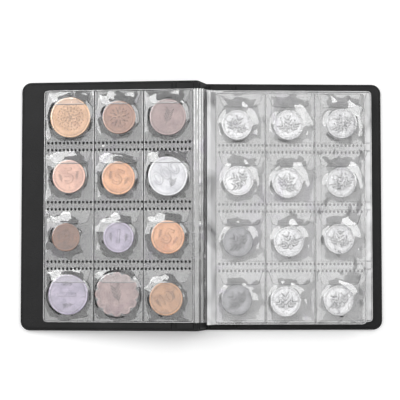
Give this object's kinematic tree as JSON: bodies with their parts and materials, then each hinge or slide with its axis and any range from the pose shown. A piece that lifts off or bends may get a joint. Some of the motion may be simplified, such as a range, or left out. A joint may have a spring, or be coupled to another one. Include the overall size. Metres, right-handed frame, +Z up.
{
  "type": "coin album",
  "caption": "Pocket coin album with a padded black cover, hinged spine and clear film leaves whose flapped pockets hold coins, lying open.",
  "frame": {"origin": "on the table, under the middle of the open album", "axes": "+X across the open album towards the right-hand (back) cover, +Y up the page, +Z up out of the pages"},
  "size_m": [0.2339, 0.16, 0.0206],
  "materials": {
    "leatherette": "black PVC leatherette, fine pebble grain, heat-welded edges",
    "foam": "thin sheet foam",
    "greyboard": "plain greyboard",
    "clear_film": "clear soft PVC film, glossy",
    "copper_coin": "circulated copper and bronze",
    "nickel_coin": "circulated cupronickel",
    "aluminium_coin": "bright struck aluminium"
  },
  "bodies": {
    "back_cover": {"back_outer_skin": "leatherette", "back_lining": "leatherette", "back_foam": "foam", "back_panel_board": "greyboard", "back_strip_board": "greyboard", "back_hinge_web": "leatherette"},
    "spine": {"spine_outer_skin": "leatherette", "spine_lining": "leatherette", "spine_board": "greyboard", "front_hinge_web": "leatherette", "binding_block": "clear_film", "leaf_1_margin": "clear_film", "leaf_margins": "clear_film"},
    "front_cover": {"front_outer_skin": "leatherette", "front_lining": "leatherette", "front_foam": "foam", "front_panel_board": "greyboard", "front_strip_board": "greyboard"},
    "leaf_1": {"leaf_1_back_film": "clear_film", "leaf_1_pocket_fronts": "clear_film", "leaf_1_seams": "clear_film", "leaf_1_flaps": "clear_film"},
    "leaf_2": {"leaf_2_back_film": "clear_film", "leaf_2_pocket_fronts": "clear_film", "leaf_2_seams": "clear_film", "leaf_2_flaps": "clear_film"},
    "leaf_3": {"leaf_3": "clear_film"},
    "leaf_4": {"leaf_4": "clear_film"},
    "leaf_5": {"leaf_5": "clear_film"},
    "leaf_6": {"leaf_6": "clear_film"},
    "leaf_7": {"leaf_7": "clear_film"},
    "leaf_8": {"leaf_8": "clear_film"},
    "leaf_9": {"leaf_9": "clear_film"},
    "leaf_10": {"leaf_10": "clear_film"},
    "left_coin_1": {"left_coin_1": "copper_coin"},
    "left_coin_2": {"left_coin_2": "copper_coin"},
    "left_coin_3": {"left_coin_3": "copper_coin"},
    "left_coin_4": {"left_coin_4": "copper_coin"},
    "left_coin_5": {"left_coin_5": "copper_coin"},
    "left_coin_6": {"left_coin_6": "aluminium_coin"},
    "left_coin_7": {"left_coin_7": "copper_coin"},
    "left_coin_8": {"left_coin_8": "nickel_coin"},
    "left_coin_9": {"left_coin_9": "copper_coin"},
    "left_coin_10": {"left_coin_10": "nickel_coin"},
    "left_coin_11": {"left_coin_11": "nickel_coin"},
    "left_coin_12": {"left_coin_12": "copper_coin"},
    "right_coin_1": {"right_coin_1": "nickel_coin"},
    "right_coin_2": {"right_coin_2": "nickel_coin"},
    "right_coin_3": {"right_coin_3": "nickel_coin"},
    "right_coin_4": {"right_coin_4": "nickel_coin"},
    "right_coin_5": {"right_coin_5": "nickel_coin"},
    "right_coin_6": {"right_coin_6": "nickel_coin"},
    "right_coin_7": {"right_coin_7": "nickel_coin"},
    "right_coin_8": {"right_coin_8": "nickel_coin"},
    "right_coin_9": {"right_coin_9": "nickel_coin"},
    "right_coin_10": {"right_coin_10": "nickel_coin"},
    "right_coin_11": {"right_coin_11": "nickel_coin"},
    "right_coin_12": {"right_coin_12": "nickel_coin"}
  },
  "joints": [
    {"name": "spine_hinge", "type": "hinge", "parent": "back_cover", "child": "spine", "pos_m": [0.00272, 0, 0.0012], "axis": [0, 1, 0], "range_deg": [0, 22], "deforming": ["back_hinge_web"]},
    {"name": "cover_hinge", "type": "hinge", "parent": "spine", "child": "front_cover", "pos_m": [-0.00365, 0, 0.01696], "axis": [0, 1, 0], "range_deg": [0, 165.32], "deforming": ["front_hinge_web"]},
    {"name": "leaf_1_turn", "type": "hinge", "parent": "back_cover", "child": "leaf_1", "pos_m": [0.002, 0, 0.0178], "axis": [0, 1, 0], "range_deg": [0, 189], "deforming": ["leaf_1_margin"]},
    {"name": "leaf_2_turn", "type": "hinge", "parent": "back_cover", "child": "leaf_2", "pos_m": [0.002, 0, 0.0178], "axis": [0, 1, 0], "range_deg": [-187.92, 0], "deforming": ["leaf_margins"]},
    {"name": "leaf_3_turn", "type": "hinge", "parent": "back_cover", "child": "leaf_3", "pos_m": [0.002, 0, 0.0178], "axis": [0, 1, 0], "range_deg": [-187.92, 0]},
    {"name": "leaf_4_turn", "type": "hinge", "parent": "back_cover", "child": "leaf_4", "pos_m": [0.002, 0, 0.0178], "axis": [0, 1, 0], "range_deg": [-187.92, 0]},
    {"name": "leaf_5_turn", "type": "hinge", "parent": "back_cover", "child": "leaf_5", "pos_m": [0.002, 0, 0.0178], "axis": [0, 1, 0], "range_deg": [-187.92, 0]},
    {"name": "leaf_6_turn", "type": "hinge", "parent": "back_cover", "child": "leaf_6", "pos_m": [0.002, 0, 0.0178], "axis": [0, 1, 0], "range_deg": [-187.92, 0]},
    {"name": "leaf_7_turn", "type": "hinge", "parent": "back_cover", "child": "leaf_7", "pos_m": [0.002, 0, 0.0178], "axis": [0, 1, 0], "range_deg": [-187.92, 0]},
    {"name": "leaf_8_turn", "type": "hinge", "parent": "back_cover", "child": "leaf_8", "pos_m": [0.002, 0, 0.0178], "axis": [0, 1, 0], "range_deg": [-187.92, 0]},
    {"name": "leaf_9_turn", "type": "hinge", "parent": "back_cover", "child": "leaf_9", "pos_m": [0.002, 0, 0.0178], "axis": [0, 1, 0], "range_deg": [-187.92, 0]},
    {"name": "leaf_10_turn", "type": "hinge", "parent": "back_cover", "child": "leaf_10", "pos_m": [0.002, 0, 0.0178], "axis": [0, 1, 0], "range_deg": [-187.92, 0]},
    {"name": "left_coin_1_slide", "type": "slide", "parent": "leaf_1", "child": "left_coin_1", "axis": [0, 1, 0], "range_m": [-0.0029, 0.0035]},
    {"name": "left_coin_2_slide", "type": "slide", "parent": "leaf_1", "child": "left_coin_2", "axis": [0, 1, 0], "range_m": [-0.005, 0.0062]},
    {"name": "left_coin_3_slide", "type": "slide", "parent": "leaf_1", "child": "left_coin_3", "axis": [0, 1, 0], "range_m": [-0.0038, 0.0054]},
    {"name": "left_coin_4_slide", "type": "slide", "parent": "leaf_1", "child": "left_coin_4", "axis": [0, 1, 0], "range_m": [-0.0053, 0.0059]},
    {"name": "left_coin_5_slide", "type": "slide", "parent": "leaf_1", "child": "left_coin_5", "axis": [0, 1, 0], "range_m": [-0.0041, 0.0071]},
    {"name": "left_coin_6_slide", "type": "slide", "parent": "leaf_1", "child": "left_coin_6", "axis": [0, 1, 0], "range_m": [-0.0032, 0.0042]},
    {"name": "left_coin_7_slide", "type": "slide", "parent": "leaf_1", "child": "left_coin_7", "axis": [0, 1, 0], "range_m": [-0.006, 0.0084]},
    {"name": "left_coin_8_slide", "type": "slide", "parent": "leaf_1", "child": "left_coin_8", "axis": [0, 1, 0], "range_m": [-0.0052, 0.0076]},
    {"name": "left_coin_9_slide", "type": "slide", "parent": "leaf_1", "child": "left_coin_9", "axis": [0, 1, 0], "range_m": [-0.0044, 0.0068]},
    {"name": "left_coin_10_slide", "type": "slide", "parent": "leaf_1", "child": "left_coin_10", "axis": [0, 1, 0], "range_m": [-0.0037, 0.0031]},
    {"name": "left_coin_11_slide", "type": "slide", "parent": "leaf_1", "child": "left_coin_11", "axis": [0, 1, 0], "range_m": [-0.0026, 0.0014]},
    {"name": "left_coin_12_slide", "type": "slide", "parent": "leaf_1", "child": "left_coin_12", "axis": [0, 1, 0], "range_m": [-0.0034, 0.0078]},
    {"name": "right_coin_1_slide", "type": "slide", "parent": "leaf_2", "child": "right_coin_1", "axis": [0, 1, 0], "range_m": [-0.0028, 0.0102]},
    {"name": "right_coin_2_slide", "type": "slide", "parent": "leaf_2", "child": "right_coin_2", "axis": [0, 1, 0], "range_m": [-0.0029, 0.0101]},
    {"name": "right_coin_3_slide", "type": "slide", "parent": "leaf_2", "child": "right_coin_3", "axis": [0, 1, 0], "range_m": [-0.0039, 0.0091]},
    {"name": "right_coin_4_slide", "type": "slide", "parent": "leaf_2", "child": "right_coin_4", "axis": [0, 1, 0], "range_m": [-0.0051, 0.0079]},
    {"name": "right_coin_5_slide", "type": "slide", "parent": "leaf_2", "child": "right_coin_5", "axis": [0, 1, 0], "range_m": [-0.0036, 0.0094]},
    {"name": "right_coin_6_slide", "type": "slide", "parent": "leaf_2", "child": "right_coin_6", "axis": [0, 1, 0], "range_m": [-0.004, 0.009]},
    {"name": "right_coin_7_slide", "type": "slide", "parent": "leaf_2", "child": "right_coin_7", "axis": [0, 1, 0], "range_m": [-0.0039, 0.0091]},
    {"name": "right_coin_8_slide", "type": "slide", "parent": "leaf_2", "child": "right_coin_8", "axis": [0, 1, 0], "range_m": [-0.004, 0.009]},
    {"name": "right_coin_9_slide", "type": "slide", "parent": "leaf_2", "child": "right_coin_9", "axis": [0, 1, 0], "range_m": [-0.0058, 0.0072]},
    {"name": "right_coin_10_slide", "type": "slide", "parent": "leaf_2", "child": "right_coin_10", "axis": [0, 1, 0], "range_m": [-0.0048, 0.0082]},
    {"name": "right_coin_11_slide", "type": "slide", "parent": "leaf_2", "child": "right_coin_11", "axis": [0, 1, 0], "range_m": [-0.004, 0.009]},
    {"name": "right_coin_12_slide", "type": "slide", "parent": "leaf_2", "child": "right_coin_12", "axis": [0, 1, 0], "range_m": [-0.0045, 0.0085]}
  ],
  "couplings": [
    {"joint": "spine_hinge", "follows": "cover_hinge", "ratio": 0.13259},
    {"joint": "leaf_1_turn", "follows": "cover_hinge", "ratio": 1.1325},
    {"joint": "leaf_3_turn", "follows": "leaf_2_turn", "ratio": 0.8889},
    {"joint": "leaf_4_turn", "follows": "leaf_2_turn", "ratio": 0.7778},
    {"joint": "leaf_5_turn", "follows": "leaf_2_turn", "ratio": 0.6667},
    {"joint": "leaf_6_turn", "follows": "leaf_2_turn", "ratio": 0.5556},
    {"joint": "leaf_7_turn", "follows": "leaf_2_turn", "ratio": 0.4444},
    {"joint": "leaf_8_turn", "follows": "leaf_2_turn", "ratio": 0.3333},
    {"joint": "leaf_9_turn", "follows": "leaf_2_turn", "ratio": 0.2222},
    {"joint": "leaf_10_turn", "follows": "leaf_2_turn", "ratio": 0.1111}
  ]
}
